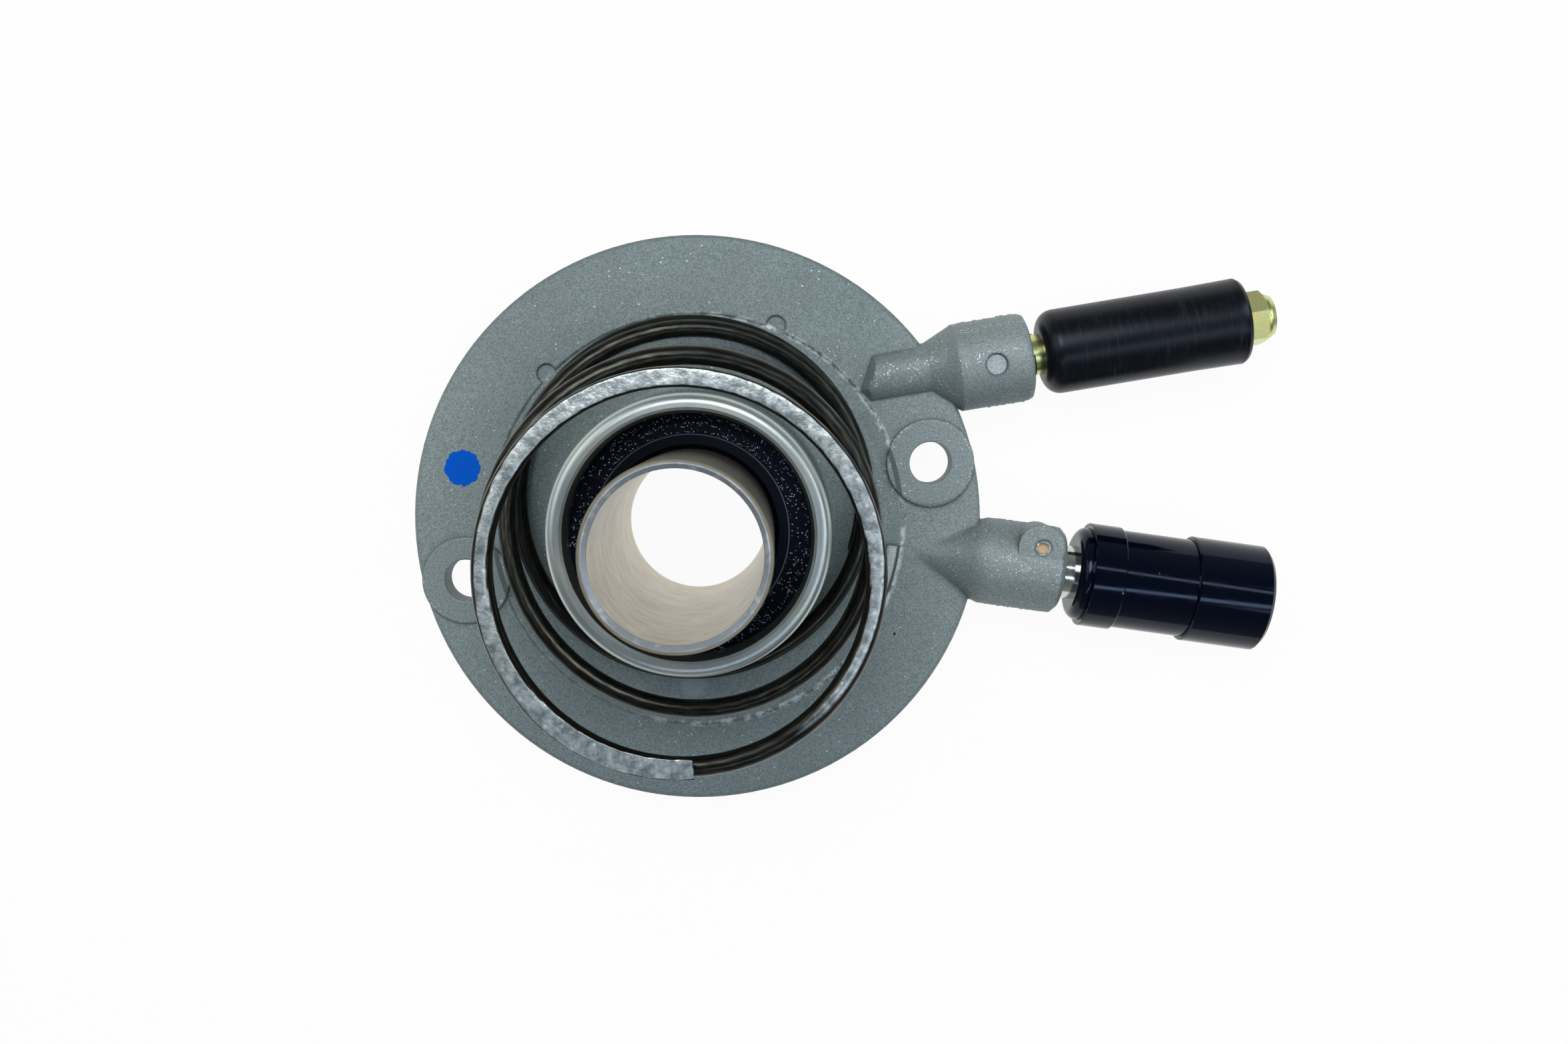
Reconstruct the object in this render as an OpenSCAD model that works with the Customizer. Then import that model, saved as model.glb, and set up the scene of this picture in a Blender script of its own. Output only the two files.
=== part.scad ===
// Concentric slave cylinder: an annular hydraulic piston on a guide tube, in a cast housing that bolts
// to the face of a gearbox. Origin on the tube axis in the plane of the mounting face, +Z towards the clutch.

/* [Flange] */
// Radius of the round mounting flange
flange_r = 65; // [58:0.5:75]
// Thickness of the flange
flange_t = 6; // [5:0.5:9]
// Radius of the pilot ring under the flange
pilot_r = 44; // [38:0.5:45]
// Height of the pilot ring below the mounting face
pilot_h = 10; // [9.5:0.5:14]
// Radius of the hollow inside the pilot ring
hollow_r = 22.5; // [21.5:0.5:23]
// Diameter of the circle through the bolt holes
bolt_pcd = 110; // [106:0.5:112]
// Diameter of each bolt hole
bolt_d = 9.6; // [8:0.1:10.5]
// Angle from +X to the first bolt hole
bolt_turn = 14.2; // [5:0.1:20]
// Radius of the raised pad around each bolt hole
pad_r = 10; // [9:0.1:10.5]
// Height of the pads above the flange
pad_h = 0.8; // [0.4:0.1:1.5]
// Radius of the shallow seat that holds the foot of the spring
seat_r = 47.6; // [47.5:0.1:48.2]
// Depth of the spring seat
seat_d = 0.4; // [0.2:0.1:0.8]
// Height of the curved locating rib inside the seat
rib_h = 1.7; // [1:0.1:2.5]

/* [Cylinder] */
// Outer radius of the hub
hub_r = 29.6; // [29.2:0.1:30]
// Height of the hub above the flange
hub_h = 30.7; // [28:0.1:32]
// Radius of the cylinder bore
bore_r = 27; // [26.6:0.1:27.4]
// Radius of the fluid gallery below the bore
gallery_r = 24.5; // [23:0.1:25]
// Height of the chamber floor above the flange
floor_h = 5; // [4:0.1:6]
// Depth of the fluid gallery
gallery_h = 2; // [1:0.1:3]

/* [Guide tube] */
// Outer radius of the guide tube
tube_r = 17.7; // [17.2:0.05:18]
// Inner radius of the guide tube
tube_bore_r = 15.9; // [15.4:0.05:16.2]
// Length of the guide tube
tube_l = 77.7; // [74:0.1:82]
// Radius of the flanged foot of the tube
foot_r = 20.5; // [19.5:0.1:21]
// Thickness of the flanged foot
foot_t = 1.5; // [1:0.1:2]
// Section radius of the tube seal ring
tube_seal_r = 1.08; // [0.9:0.01:1.2]

/* [Piston] */
// Outer radius of the rolled lip
lip_r = 29.5; // [28.5:0.1:30]
// Height of the rolled lip
lip_h = 4.2; // [3:0.1:5]
// Wall thickness of the piston sleeve
sleeve_t = 1.32; // [1:0.02:1.6]
// Thickness of the inward base of the sleeve
sleeve_base_t = 1.8; // [1.2:0.1:2.5]
// Height of the sleeve from base to lip top
sleeve_h = 20.7; // [19:0.1:22]
// Height of the rubber wiper inside the sleeve
wiper_h = 10.6; // [8:0.1:12]
// Radius where the wiper steps down to its inner lip
wiper_step_r = 20.8; // [19.5:0.1:22]
// Depth of that step
wiper_step = 0.8; // [0.3:0.1:1.5]
// Height of the lip seal
seal_h = 5.1; // [4:0.1:6]
// Thickness of the ring that backs the seal
backup_t = 1.8; // [1:0.1:2.5]
// Gap between the lip and the top of the hub at rest
rest_gap = 0.3; // [0.3:0.05:1]

/* [Preload spring] */
// Diameter of the spring wire
wire_d = 4; // [3:0.1:4.2]
// Radius of the wire centreline at the top turn
coil_top_r = 35.5; // [34:0.1:36]
// Radius of the wire centreline at the base turn
coil_base_r = 39.5; // [38:0.1:40]
// Height of the ground top face above the mounting face
coil_top_z = 74; // [70:0.5:80]
// Number of turns
coil_turns = 3.815; // [3.6:0.005:4]
// Pitch of the closed turns
closed_pitch = 4.2; // [4.1:0.1:4.6]
// Turns closed at the top end
closed_top = 1.045; // [0.9:0.005:1.2]
// Turns that spread between the closed ends
open_turns = 1.66; // [1.5:0.01:1.8]
// Distance from the tip centreline down to the ground face
grind = 0.9; // [0.4:0.1:1.2]
// Sag of the first half turn below an even pitch
half_sag = 1.45; // [0:0.05:1.6]
// Rise of the second half turn above an even pitch
half_rise = 0.75; // [0:0.05:1]
// Sideways lean of the top turn along Y
lean_top_y = -4.1; // [-4.5:0.1:0]
// Sideways rest of the base turn along Y
lean_base_y = 5.9; // [0:0.1:6]
// Sideways rest of the base turn along X
lean_base_x = -1.2; // [-2:0.1:2]
// Angle from +X to the tip of the top turn
tip_turn = -85.4; // [-180:0.1:180]

/* [Bleed port] */
// Direction of the bleed port from +X
bleed_turn = 9.45; // [5:0.05:12]
// Sideways distance of the bleed port from the tube axis
bleed_off = 24.9; // [24.4:0.1:25.2]
// Radius of the bleed boss
bleed_boss_r = 10; // [9.5:0.1:10.5]
// Distance from the edge of the flange to the outer face of the bleed boss
bleed_reach = 15.9; // [14:0.1:18]
// Length of the full-width bleed boss
bleed_boss_l = 16.6; // [15:0.1:18]
// Length of the cone between the low rib and the bleed boss
bleed_cone_l = 6.6; // [5:0.1:8]
// Radius of the low rib that leads to the bleed boss
bleed_rib_r = 6; // [5:0.1:7]
// Sideways distance of the low rib from the axis of the boss
rib_shift = 0.9; // [0.2:0.1:1.5]
// Outer radius of the rubber sleeve
boot_r = 9.65; // [9:0.05:10]
// Length of the rubber sleeve
boot_l = 48; // [44:0.1:50]
// Gap between the bleed boss and the rubber sleeve
boot_gap = 3; // [2.5:0.1:4]
// Thread radius of the bleed screw
thread_r = 4.65; // [4.4:0.05:4.9]
// Width across flats of the bleed screw
hex_af = 11.2; // [10:0.1:11.4]
// Length of the hexagon inside the rubber sleeve
hex_in = 4; // [3:0.1:6]
// Length of the hexagon outside the rubber sleeve
hex_out = 4.5; // [3:0.1:6]
// Length of the conical end of the bleed screw
nipple_l = 3; // [2:0.1:4]

/* [Fluid port] */
// Direction of the fluid port from +X
line_turn = -8; // [-15:0.1:0]
// Radius of the fluid boss
line_boss_r = 10; // [9.5:0.1:10.5]
// Distance from the edge of the flange to the outer face of the fluid boss
line_reach = 19.5; // [17:0.1:21]
// Length of the full-width fluid boss
line_boss_l = 17.9; // [17:0.1:19]
// Length of the hollow-sided fairing that leads to the fluid boss
fairing_l = 18.6; // [16:0.1:20]
// Radius of the hollow side of that fairing
fairing_r = 43; // [40:0.5:46]
// Outer radius of the coupling stem
stem_r = 6.2; // [6:0.05:6.4]
// Length of the stem inside the boss
stem_in = 16; // [15:0.1:17]
// Gap between the boss and the coupling
stem_gap = 3.2; // [2.5:0.1:4]
// Length of the coupling
socket_l = 44; // [40:0.1:48]
// Radius of the collar of the coupling
socket_collar_r = 12; // [11:0.1:12.2]
// Radius of the waist of the coupling
socket_waist_r = 11.4; // [10.5:0.1:11.8]
// Radius of the mouth end of the coupling
socket_end_r = 12.2; // [11.5:0.1:12.4]
// Radius of the bore that takes the hydraulic line
line_bore_r = 7.5; // [7:0.1:8.5]
// Depth of the bore that takes the hydraulic line
line_bore_l = 15.5; // [14:0.1:16]
// Length of the stem inside the coupling
stem_out = 10; // [9:0.1:11]
// Distance of the roll pin behind the face of the boss
pin_back = 6.05; // [5.5:0.05:6.5]
// Sideways distance of the roll pin from the port axis
pin_off = 5.37; // [5.2:0.01:5.6]
// Radius of the roll pin
pin_r = 1.75; // [1.5:0.05:2]

/* [Fits] */
// Radial clearance of sliding and turning pieces
run_fit = 0.08; // [0.03:0.01:0.1]
// Radial clearance of pieces pressed together
press_gap = 0.02; // [0.01:0.01:0.05]

/* [Hidden] */
$fn = 96;
eps = 0.01;
face_z = 0;
foot_z = -pilot_h;
flange_z = flange_t;
seat_z = flange_z - seat_d;
hub_z = flange_z + hub_h;
floor_z = flange_z + floor_h;
ledge_z = floor_z + gallery_h;
tube_z = face_z + tube_l;
port_z = face_z + flange_t / 2;
lip_z = hub_z + rest_gap;
sleeve_z = lip_z + lip_h - sleeve_h;
piston_ir = tube_r + run_fit;
piston_or = bore_r - run_fit;
sleeve_ir = piston_or - sleeve_t;
wiper_z = sleeve_z + sleeve_base_t + 0.1;
backup_z = sleeve_z - backup_t - 0.1;
seal_z = backup_z - seal_h - 0.1;
gland_z = face_z + foot_t + 4.8;
passage_r = 1.6;
wire_r = wire_d / 2;
tip_z = coil_top_z + grind;
end_z = seat_z + 0.6;
open_pitch = (tip_z - end_z - closed_pitch * (coil_turns - open_turns)) / open_turns;
coil_steps = 176;
wire_sides = 14;
bleed_face = flange_r + bleed_reach;
line_face = flange_r + line_reach;
pin_at = line_face - pin_back;
boot_z = bleed_face + boot_gap;
boot_end = boot_z + boot_l;
neck_r = thread_r - 0.1;
bleed_seat = bleed_face - 13.9;
boot_round = 3.8;
hex_at = boot_end - hex_in;
hex_end = boot_end + hex_out;
hex_r = hex_af / 2 / cos(30);
boot_bore_r = hex_r + 0.5;
socket_z = line_face + stem_gap;
socket_end = socket_z + socket_l;
stem_z = line_face - stem_in;
stem_end = socket_z + stem_out;
stem_bore_r = stem_r + 0.05;
mouth_z = socket_end - line_bore_l;
pin_boss_r = 5.3;
pin_boss_z = port_z + line_boss_r - 0.5;
cast_grey = "#7f8887";

// Places a piece on the bleed port axis, its own Z pointing out of the port.
module at_bleed() {
    translate([0, 0, port_z])
    rotate([0, 0, bleed_turn])
    translate([0, bleed_off, 0])
    rotate([0, 90, 0])
    children();
}

// Places a piece on the fluid port axis, its own Z pointing out of the port.
module at_line() {
    translate([0, 0, port_z])
    rotate([0, 0, line_turn])
    rotate([0, 90, 0])
    children();
}

// Places an upright piece at the roll pin.
module at_pin() {
    rotate([0, 0, line_turn])
    translate([pin_at, pin_off, 0])
    children();
}

// A ring of rectangular section.
module ring(r0, r1, z0, z1) {
    rotate_extrude()
    translate([r0, z0])
    square([r1 - r0, z1 - z0]);
}

// The flange, pilot ring and hub as one turned blank.
module housing_blank() {
    rotate_extrude()
    polygon([
        [0, foot_z],
        [pilot_r - 1, foot_z],
        [pilot_r, foot_z + 1],
        [pilot_r, face_z],
        [flange_r - 0.5, face_z],
        [flange_r, face_z + 0.5],
        [flange_r, flange_z - 0.7],
        [flange_r - 0.7, flange_z],
        [seat_r, flange_z],
        [seat_r - seat_d, seat_z],
        [hub_r, seat_z],
        [hub_r, hub_z - 0.8],
        [hub_r - 0.8, hub_z],
        [0, hub_z]
    ]);
    rotate_extrude()
    difference() {
        translate([hub_r - 0.5, seat_z - 0.5])
        square(2.5);
        translate([hub_r + 2, seat_z + 2])
        circle(r = 2);
    }
}

// The low rib, cone and boss of the bleed port. The rib ends on a slanted face.
module bleed_boss() {
    boss_at = bleed_face - bleed_boss_l;
    rib_end = boss_at - bleed_cone_l;
    difference() {
        at_bleed()
        union() {
            translate([0, rib_shift, 0])
            rotate_extrude()
            polygon([
                [0, rib_end - 24],
                [bleed_rib_r, rib_end - 24],
                [bleed_rib_r, rib_end],
                [bleed_boss_r - rib_shift - 0.1, boss_at],
                [0, boss_at]
            ]);
            translate([0, 0, rib_end])
            cylinder(r1 = bleed_rib_r - rib_shift, r2 = bleed_boss_r, h = bleed_cone_l);
            rotate_extrude()
            polygon([
                [0, boss_at],
                [bleed_boss_r, boss_at],
                [bleed_boss_r, bleed_face - 1.4],
                [bleed_boss_r - 0.4, bleed_face - 0.4],
                [bleed_boss_r - 1.4, bleed_face],
                [0, bleed_face]
            ]);
        }
        translate([38.3, 33.4, flange_z])
        rotate([0, 32, -18])
        translate([-30, -30, -30])
        cube([30, 60, 60]);
        translate([38.2, 28.85, flange_z])
        rotate([0, 32, 50])
        translate([-30, -30, -30])
        cube([30, 60, 60]);
    }
}

// The trumpet-shaped fairing and boss of the fluid port, with the upright boss for the roll pin.
module line_boss() {
    boss_at = line_face - line_boss_l;
    at_line()
    rotate_extrude()
    difference() {
        polygon([
            [0, boss_at - fairing_l],
            [line_boss_r - 0.5, boss_at - fairing_l],
            [line_boss_r - 0.5, boss_at - 1.4],
            [line_boss_r, boss_at],
            [line_boss_r, line_face - 1.2],
            [line_boss_r - 1.2, line_face],
            [0, line_face]
        ]);
        translate([line_boss_r + 34.7, boss_at - 26.7])
        circle(r = fairing_r);
    }
    at_pin()
    translate([-0.35, 0, port_z])
    cylinder(r = pin_boss_r, h = pin_boss_z - port_z);
}

// The drilled passages, threads, glands and seats.
module housing_cuts() {
    ring(0, hollow_r, foot_z - 1, face_z);
    ring(0, foot_r + 0.05, foot_z - 1, face_z + foot_t + press_gap);
    ring(0, tube_r + press_gap, foot_z, hub_z + 1);
    ring(0, tube_r + 2 * tube_seal_r + 0.1, gland_z - 1.3, gland_z + 1.3);
    ring(0, gallery_r, floor_z, hub_z + 1);
    ring(0, bore_r, ledge_z, hub_z + 1);
    rotate_extrude()
    polygon([[0, hub_z - 1], [bore_r, hub_z - 1], [bore_r + 1, hub_z + eps], [0, hub_z + eps]]);
    for (side = [0, 180]) {
        rotate([0, 0, bolt_turn + side])
        translate([bolt_pcd / 2, 0, -1])
        cylinder(d = bolt_d, h = flange_z + pad_h + 2);
    }
    ring(pilot_r, flange_r + 1.5, foot_z - 5, face_z);
    for (turn = [line_turn, bleed_turn + 90]) {
        rotate([0, 0, turn])
        translate([bleed_off, 0, port_z])
        cylinder(r = 1.5, h = ledge_z - port_z + 1);
    }
    at_line()
    rotate_extrude()
    polygon([
        [0, bleed_off],
        [passage_r, bleed_off],
        [passage_r, stem_z - 1.6],
        [stem_bore_r, stem_z - 0.2],
        [stem_bore_r, line_face - 0.5],
        [stem_bore_r + 0.6, line_face + 0.1],
        [0, line_face + 0.1]
    ]);
    at_bleed()
    rotate_extrude()
    polygon([
        [0, -1],
        [passage_r, -1],
        [passage_r, bleed_seat - 1.8],
        [thread_r + run_fit, bleed_seat],
        [thread_r + run_fit, bleed_face - 0.6],
        [thread_r + 0.7, bleed_face + 0.1],
        [0, bleed_face + 0.1]
    ]);
    at_pin()
    translate([0, 0, port_z - 12])
    cylinder(r = pin_r + press_gap, h = 30);
    at_pin()
    translate([0, 0, pin_boss_z - 0.4])
    cylinder(r1 = pin_r, r2 = pin_r + 0.5, h = 0.5);
    ejector_marks();
}

// Shallow round marks that the mould's ejector pins leave in the casting.
module ejector_marks() {
    for (p = [[-34.2, 33.8], [18, 44.7], [31, -34.1]]) {
        translate([p[0], p[1], seat_z - 0.1])
        cylinder(d = 4.5, h = 2);
    }
    translate([67.3, 35.8, port_z + bleed_boss_r - 0.8])
    cylinder(d = 4.8, h = 3);
}

// The cast aluminium body.
module housing() {
    color(cast_grey)
    difference() {
        union() {
            housing_blank();
            for (side = [0, 180]) {
                rotate([0, 0, bolt_turn + side])
                translate([bolt_pcd / 2, 0, face_z + 0.5])
                cylinder(r = pad_r, h = flange_t + pad_h - 0.5);
                rotate([0, 0, bolt_turn + side])
                translate([0, pad_r * 0.6, 0])
                rotate([90, 0, 0])
                linear_extrude(pad_r * 1.2)
                polygon([[45.4, seat_z - 1], [45.4, seat_z], [49.4, flange_z + pad_h],
                    [bolt_pcd / 2, flange_z + pad_h], [bolt_pcd / 2, seat_z - 1]]);
            }
            rotate([0, 0, -36])
            rotate_extrude(angle = 69)
            polygon([[44, seat_z - 0.5], [44, seat_z], [seat_r + 0.4, flange_z - 0.02],
                [seat_r + 0.4, seat_z - 0.5]]);
            rotate([0, 0, -24])
            rotate_extrude(angle = 17)
            polygon([[43.2, seat_z - 1], [47, seat_z - 1], [47, seat_z + 0.4],
                [46.3, seat_z + rib_h], [44.1, seat_z + rib_h], [43.2, seat_z + 0.4]]);
            bleed_boss();
            line_boss();
        }
        housing_cuts();
    }
}

// The steel guide tube, with a flanged foot under the housing and a chamfered top.
module guide_tube() {
    color("#b9b7ab")
    rotate_extrude()
    polygon([
        [tube_bore_r, face_z],
        [foot_r, face_z],
        [foot_r, face_z + foot_t],
        [tube_r, face_z + foot_t],
        [tube_r, tube_z - 0.4],
        [tube_r - 0.4, tube_z],
        [tube_bore_r + 0.85, tube_z],
        [tube_bore_r, tube_z - 0.85]
    ]);
}

// The seal ring between the tube and the housing.
module tube_seal() {
    color("#1b1b1c")
    rotate_extrude()
    translate([tube_r + tube_seal_r + 0.05, gland_z])
    circle(r = tube_seal_r);
}

// A rise that starts at x = 0, with a rounded start.
function ramp(x) = x < -0.2 ? 0 : x > 0.2 ? x : (x + 0.2) * (x + 0.2) / 0.8;
function open_part(t) = ramp(t - closed_top) - ramp(t - closed_top - open_turns);
function wave(t) = (t < 0.5 ? -half_sag : t < 1 ? half_rise : 0) * pow(sin(360 * t), 2);
function coil_z(t) = tip_z + wave(t) - closed_pitch * t - (open_pitch - closed_pitch) * open_part(t);
function coil_r(t) = coil_top_r + (coil_base_r - coil_top_r) * min(1, max(0, (t - 0.175) / 2.4));
function coil_k(t) = (coil_z(t) - end_z) / (tip_z - end_z);
function coil_x(t) = lean_base_x * (1 - coil_k(t));
function coil_y(t) = lean_base_y + (lean_top_y - lean_base_y) * coil_k(t);
function wire_point(t, b) = [
    coil_x(t) + (coil_r(t) + wire_r * cos(b)) * cos(tip_turn - 360 * t),
    coil_y(t) + (coil_r(t) + wire_r * cos(b)) * sin(tip_turn - 360 * t),
    min(coil_top_z, max(seat_z + 0.03, coil_z(t) + wire_r * sin(b)))
];

// The conical preload spring, closed and ground flat at both ends.
module preload_spring() {
    m = wire_sides;
    n = coil_steps;
    points = [for (i = [0:n], j = [0:m - 1]) wire_point(coil_turns * i / n, 360 * (j + 0.5) / m)];
    sides = [for (i = [0:n - 1], j = [0:m - 1], k = [0, 1])
        let (a = i * m + j, b = i * m + (j + 1) % m)
        k == 0 ? [a, a + m, b + m] : [a, b + m, b]];
    first = [for (j = [0:m - 1]) j];
    last = [for (j = [0:m - 1]) n * m + m - 1 - j];
    color("#3a352e")
    polyhedron(points = points, faces = concat(sides, [first, last]));
}

// The plated steel sleeve of the piston: an inward base, a thin wall and a rolled lip.
module piston_sleeve() {
    bead = lip_h / 2;
    color("#aeb2b1")
    rotate_extrude()
    union() {
        polygon([
            [piston_ir, sleeve_z],
            [piston_or, sleeve_z],
            [piston_or, lip_z],
            [lip_r - bead, lip_z],
            [lip_r - bead, lip_z + lip_h],
            [sleeve_ir + 0.9, lip_z + lip_h],
            [sleeve_ir + 0.3, lip_z + lip_h - 0.25],
            [sleeve_ir, lip_z + lip_h - 0.9],
            [sleeve_ir, sleeve_z + sleeve_base_t],
            [piston_ir, sleeve_z + sleeve_base_t]
        ]);
        translate([lip_r - bead, lip_z + bead])
        circle(r = bead);
    }
}

// The rubber wiper between the sleeve and the tube, stepped down at its inner lip.
module dust_wiper() {
    top = wiper_z + wiper_h;
    color("#15161a")
    rotate_extrude()
    polygon([
        [piston_ir, wiper_z],
        [sleeve_ir - 0.05, wiper_z],
        [sleeve_ir - 0.05, top],
        [wiper_step_r + 0.3, top],
        [wiper_step_r, top - wiper_step],
        [piston_ir + 0.9, top - wiper_step],
        [piston_ir, top - wiper_step - 0.9]
    ]);
}

// The stiff ring that backs the lip seal.
module seal_backup_ring() {
    color("#d8d2c0")
    ring(piston_ir, piston_or, backup_z, backup_z + backup_t);
}

// The lip seal at the pressure end of the piston, with its groove facing the fluid.
module piston_seal() {
    color("#17171a")
    rotate_extrude()
    polygon([
        [piston_ir, seal_z],
        [piston_ir + 1.4, seal_z],
        [piston_ir + 3.4, seal_z + 2.6],
        [piston_or - 3.4, seal_z + 2.6],
        [piston_or - 1.4, seal_z],
        [piston_or, seal_z],
        [piston_or, seal_z + seal_h],
        [piston_ir, seal_z + seal_h]
    ]);
}

// The long yellow-plated bleed screw: cone tip, thread, shank, hexagon and nipple end.
module bleed_screw() {
    color("#b9a54a")
    at_bleed()
    difference() {
        union() {
            rotate_extrude()
            polygon([
                [0, bleed_seat - 1.4],
                [1.6, bleed_seat - 1.4],
                [thread_r, bleed_seat + 0.4],
                [thread_r, boot_z - 1.2],
                [neck_r, boot_z - 0.8],
                [neck_r, boot_z + 7],
                [neck_r - 0.7, boot_z + 7.7],
                [neck_r - 0.7, hex_at],
                [0, hex_at]
            ]);
            intersection() {
                translate([0, 0, hex_at])
                cylinder(r = hex_r, h = hex_end - hex_at, $fn = 6);
                rotate_extrude()
                polygon([
                    [0, hex_at - 1],
                    [hex_r + 0.5, hex_at - 1],
                    [hex_r + 0.5, hex_end - 1.2],
                    [hex_af / 2 - 0.2, hex_end],
                    [0, hex_end]
                ]);
            }
            translate([0, 0, hex_end - eps])
            cylinder(r1 = hex_af / 2 - 0.4, r2 = 3, h = nipple_l);
        }
        translate([0, 0, bleed_seat + 1.5])
        cylinder(r = 1.2, h = 100);
        translate([0, 0, bleed_seat + 3.4])
        rotate([90, 0, 0])
        cylinder(r = 0.9, h = 20, center = true);
    }
}

// The black rubber sleeve on the bleed screw, closed round at the boss end and open at the hexagon.
module bleed_sleeve() {
    color("#141518")
    at_bleed()
    rotate_extrude()
    difference() {
        union() {
            polygon([
                [0, boot_z],
                [boot_r - boot_round, boot_z],
                [boot_r - boot_round, boot_z + boot_round],
                [boot_r, boot_z + boot_round],
                [boot_r, boot_end - 14],
                [boot_r + 0.2, boot_end - 0.8],
                [boot_r - 0.3, boot_end],
                [0, boot_end]
            ]);
            translate([boot_r - boot_round, boot_z + boot_round])
            circle(r = boot_round);
        }
        polygon([
            [-1, boot_z - 1],
            [neck_r + run_fit, boot_z - 1],
            [neck_r + run_fit, boot_z + 6],
            [boot_bore_r, boot_z + 8.5],
            [boot_bore_r, boot_end + 1],
            [-1, boot_end + 1]
        ]);
    }
}

// The steel stem of the coupling, with a seal groove and the groove that the roll pin crosses.
module coupling_stem() {
    color("#c3c3bc")
    at_line()
    rotate_extrude()
    polygon([
        [1.5, stem_z],
        [stem_r - 0.6, stem_z],
        [stem_r, stem_z + 0.6],
        [stem_r, stem_z + 1.8],
        [stem_r - 1.8, stem_z + 1.8],
        [stem_r - 1.8, stem_z + 5.8],
        [stem_r, stem_z + 5.8],
        [stem_r, pin_at - pin_r - 0.2],
        [pin_off - pin_r - 0.1, pin_at - pin_r - 0.2],
        [pin_off - pin_r - 0.1, pin_at + pin_r + 0.2],
        [stem_r, pin_at + pin_r + 0.2],
        [stem_r, stem_end - 0.6],
        [stem_r - 0.6, stem_end],
        [1.5, stem_end]
    ]);
}

// The seal ring in the groove of the stem.
module stem_seal() {
    color("#1a1a1c")
    at_line()
    rotate_extrude()
    translate([stem_r - 0.88, stem_z + 2.8])
    circle(r = 0.88);
}

// The stiff ring beside the stem seal.
module stem_backup_ring() {
    color("#d9d4c6")
    at_line()
    ring(stem_r - 1.75, stem_r, stem_z + 4.2, stem_z + 5.6);
}

// The slit spring-steel pin that holds the stem in its boss.
module roll_pin() {
    color("#8f8a7c")
    at_pin()
    difference() {
        translate([0, 0, port_z - 8])
        cylinder(r = pin_r, h = pin_boss_z - port_z + 7.85);
        translate([0, 0, port_z - 20])
        cylinder(r = pin_r - 0.5, h = 40);
        rotate([0, 0, 150])
        translate([0, -0.25, port_z - 20])
        cube([pin_r + 1, 0.5, 40]);
    }
}

// The black plastic coupling that takes the hydraulic line.
module coupling_socket() {
    nose_r = 8.6;
    nose_round = 2.2;
    color("#101216")
    at_line()
    rotate_extrude()
    union() {
        polygon([
            [stem_bore_r, socket_z],
            [nose_r, socket_z],
            [nose_r, socket_z + nose_round],
            [nose_r + nose_round, socket_z + nose_round],
            [nose_r + nose_round, socket_z + 2.6],
            [socket_collar_r - 0.2, socket_z + 2.6],
            [socket_collar_r, socket_z + 2.8],
            [socket_collar_r, socket_z + 9.7],
            [socket_collar_r - 0.3, socket_z + 10],
            [socket_waist_r, socket_z + 10],
            [socket_waist_r, socket_z + 26.6],
            [socket_end_r - 0.3, socket_z + 26.6],
            [socket_end_r, socket_z + 26.9],
            [socket_end_r, socket_end - 0.8],
            [socket_end_r - 0.8, socket_end],
            [line_bore_r + 0.6, socket_end],
            [line_bore_r, socket_end - 0.6],
            [line_bore_r, mouth_z],
            [6.5, mouth_z],
            [6.5, mouth_z - 3],
            [8.3, mouth_z - 3],
            [8.3, mouth_z - 5.6],
            [6.5, mouth_z - 5.6],
            [6.5, mouth_z - 9],
            [2.4, mouth_z - 9],
            [2.4, stem_end + 0.1],
            [stem_bore_r, stem_end + 0.1]
        ]);
        translate([nose_r, socket_z + nose_round])
        circle(r = nose_round);
    }
}

// The seal ring inside the coupling.
module socket_seal() {
    color("#1a1a1c")
    at_line()
    rotate_extrude()
    translate([7.2, mouth_z - 4.3])
    circle(r = 1.06);
}

housing();
guide_tube();
tube_seal();
preload_spring();
piston_sleeve();
dust_wiper();
seal_backup_ring();
piston_seal();
bleed_screw();
bleed_sleeve();
coupling_stem();
stem_seal();
stem_backup_ring();
roll_pin();
coupling_socket();
socket_seal();
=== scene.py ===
import math
import bmesh
import bpy
from mathutils import Matrix, Vector, noise


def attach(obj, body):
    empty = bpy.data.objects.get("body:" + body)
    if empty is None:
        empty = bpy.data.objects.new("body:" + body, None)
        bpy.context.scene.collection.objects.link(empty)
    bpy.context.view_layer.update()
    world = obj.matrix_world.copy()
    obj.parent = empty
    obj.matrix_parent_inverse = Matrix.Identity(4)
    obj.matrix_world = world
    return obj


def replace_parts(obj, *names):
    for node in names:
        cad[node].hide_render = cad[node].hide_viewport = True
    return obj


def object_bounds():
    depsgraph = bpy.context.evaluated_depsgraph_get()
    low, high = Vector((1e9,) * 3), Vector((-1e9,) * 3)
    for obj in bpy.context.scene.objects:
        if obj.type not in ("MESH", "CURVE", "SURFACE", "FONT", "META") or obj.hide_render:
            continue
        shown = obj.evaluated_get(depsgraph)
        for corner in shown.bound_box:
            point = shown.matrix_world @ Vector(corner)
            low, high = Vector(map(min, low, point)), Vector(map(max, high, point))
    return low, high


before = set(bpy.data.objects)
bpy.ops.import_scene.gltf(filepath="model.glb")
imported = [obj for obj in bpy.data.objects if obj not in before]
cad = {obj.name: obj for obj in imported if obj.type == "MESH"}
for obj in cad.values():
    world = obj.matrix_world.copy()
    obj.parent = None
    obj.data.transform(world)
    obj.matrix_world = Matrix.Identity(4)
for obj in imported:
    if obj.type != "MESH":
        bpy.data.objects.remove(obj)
cad_low, cad_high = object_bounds()


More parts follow.
